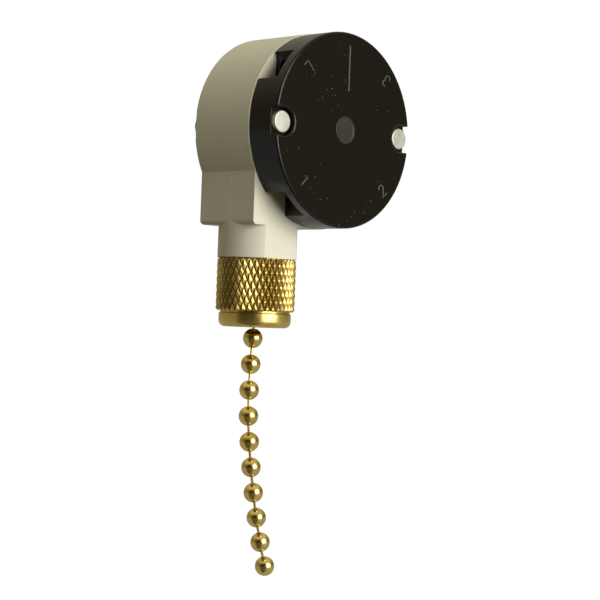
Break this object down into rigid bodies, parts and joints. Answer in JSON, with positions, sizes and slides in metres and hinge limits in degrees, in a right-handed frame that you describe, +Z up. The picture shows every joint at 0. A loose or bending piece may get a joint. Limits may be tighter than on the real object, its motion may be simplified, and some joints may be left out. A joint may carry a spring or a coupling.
{
  "type": "pull chain switch",
  "caption": "Round pull chain fan switch: moulded drum with offset neck, push-in terminals, knurled nut and hanging ball chain.",
  "frame": {"origin": "on the neck's axis, where the neck's shoulder meets the panel that carries the switch", "axes": "+Z up along the neck, chain hanging down, cover facing -Y"},
  "size_m": [0.0318, 0.0187, 0.0887],
  "materials": {
    "cream_plastic": "glossy moulded plastic",
    "black_plastic": "semi-gloss moulded plastic",
    "rivet_alloy": "satin",
    "nut_brass": "bright, knurled",
    "chain_brass": "polished",
    "terminal_brass": "stamped strip",
    "spring_steel": "spring steel",
    "nylon": "natural nylon"
  },
  "bodies": {
    "casing": {"housing": "cream_plastic", "cover": "black_plastic", "rivets": "rivet_alloy", "axle": "spring_steel", "terminal_line": "terminal_brass", "terminal_low": "terminal_brass", "terminal_medium": "terminal_brass", "terminal_high": "terminal_brass", "wire_clamp_line": "spring_steel", "wire_clamp_low": "spring_steel", "wire_clamp_medium": "spring_steel", "wire_clamp_high": "spring_steel", "return_spring": "spring_steel", "detent_spring": "spring_steel", "spring_washer": "spring_steel"},
    "nut": {"knurled_nut": "nut_brass"},
    "wheel": {"chain_wheel": "nylon", "wheel_chain_balls": "chain_brass", "wheel_chain_pins": "chain_brass"},
    "indexer": {"rotor": "nylon", "contact_plate": "terminal_brass"},
    "neck_chain": {"neck_chain_balls": "chain_brass", "neck_chain_pins": "chain_brass"},
    "ball_01": {"chain_ball_01": "chain_brass", "chain_pin_01": "chain_brass"},
    "ball_02": {"chain_ball_02": "chain_brass", "chain_pin_02": "chain_brass"},
    "ball_03": {"chain_ball_03": "chain_brass", "chain_pin_03": "chain_brass"},
    "ball_04": {"chain_ball_04": "chain_brass", "chain_pin_04": "chain_brass"},
    "ball_05": {"chain_ball_05": "chain_brass", "chain_pin_05": "chain_brass"},
    "ball_06": {"chain_ball_06": "chain_brass", "chain_pin_06": "chain_brass"},
    "ball_07": {"chain_ball_07": "chain_brass", "chain_pin_07": "chain_brass"},
    "ball_08": {"chain_ball_08": "chain_brass", "chain_pin_08": "chain_brass"},
    "ball_09": {"chain_ball_09": "chain_brass", "chain_pin_09": "chain_brass"},
    "ball_10": {"chain_ball_10": "chain_brass", "chain_pin_10": "chain_brass"}
  },
  "joints": [
    {"name": "wheel_turn", "type": "hinge", "parent": "casing", "child": "wheel", "pos_m": [0.00766, 0, 0.0211], "axis": [0, -1, 0], "range_deg": [0, 90], "deforming": ["return_spring"]},
    {"name": "rotor_index", "type": "hinge", "parent": "casing", "child": "indexer", "pos_m": [0.00766, 0, 0.0211], "axis": [0, -1, 0], "range_deg": [0, 90], "deforming": ["detent_spring"]},
    {"name": "chain_pull", "type": "slide", "parent": "casing", "child": "neck_chain", "axis": [0, 0, -1], "range_m": [0, 0.01203], "stiffness_N_per_m": 510, "springref_m": -0.006},
    {"name": "nut_unscrew", "type": "slide", "parent": "casing", "child": "nut", "axis": [0, 0, -1], "range_m": [0, 0.0082]},
    {"name": "ball_swing_01", "type": "hinge", "parent": "neck_chain", "child": "ball_01", "pos_m": [0, 0, -0.01012], "axis": [0, -1, 0], "range_deg": [-20, 20]},
    {"name": "ball_swing_02", "type": "hinge", "parent": "ball_01", "child": "ball_02", "pos_m": [-0.00037, 0, -0.0143], "axis": [0, -1, 0], "range_deg": [-20, 20]},
    {"name": "ball_swing_03", "type": "hinge", "parent": "ball_02", "child": "ball_03", "pos_m": [-0.00059, 0, -0.0185], "axis": [0, -1, 0], "range_deg": [-20, 20]},
    {"name": "ball_swing_04", "type": "hinge", "parent": "ball_03", "child": "ball_04", "pos_m": [-0.00066, 0, -0.0227], "axis": [0, -1, 0], "range_deg": [-20, 20]},
    {"name": "ball_swing_05", "type": "hinge", "parent": "ball_04", "child": "ball_05", "pos_m": [-0.00051, 0, -0.02689], "axis": [0, -1, 0], "range_deg": [-20, 20]},
    {"name": "ball_swing_06", "type": "hinge", "parent": "ball_05", "child": "ball_06", "pos_m": [0, 0, -0.03106], "axis": [0, -1, 0], "range_deg": [-20, 20]},
    {"name": "ball_swing_07", "type": "hinge", "parent": "ball_06", "child": "ball_07", "pos_m": [0.00066, 0, -0.03521], "axis": [0, -1, 0], "range_deg": [-20, 20]},
    {"name": "ball_swing_08", "type": "hinge", "parent": "ball_07", "child": "ball_08", "pos_m": [0.00146, 0, -0.03934], "axis": [0, -1, 0], "range_deg": [-20, 20]},
    {"name": "ball_swing_09", "type": "hinge", "parent": "ball_08", "child": "ball_09", "pos_m": [0.0024, 0, -0.04343], "axis": [0, -1, 0], "range_deg": [-20, 20]},
    {"name": "ball_swing_10", "type": "hinge", "parent": "ball_09", "child": "ball_10", "pos_m": [0.00356, 0, -0.04747], "axis": [0, -1, 0], "range_deg": [-20, 20]}
  ],
  "couplings": [
    {"joint": "wheel_turn", "follows": "chain_pull", "rad_per_m": 130.55},
    {"joint": "rotor_index", "follows": "chain_pull", "rad_per_m": 130.55}
  ]
}
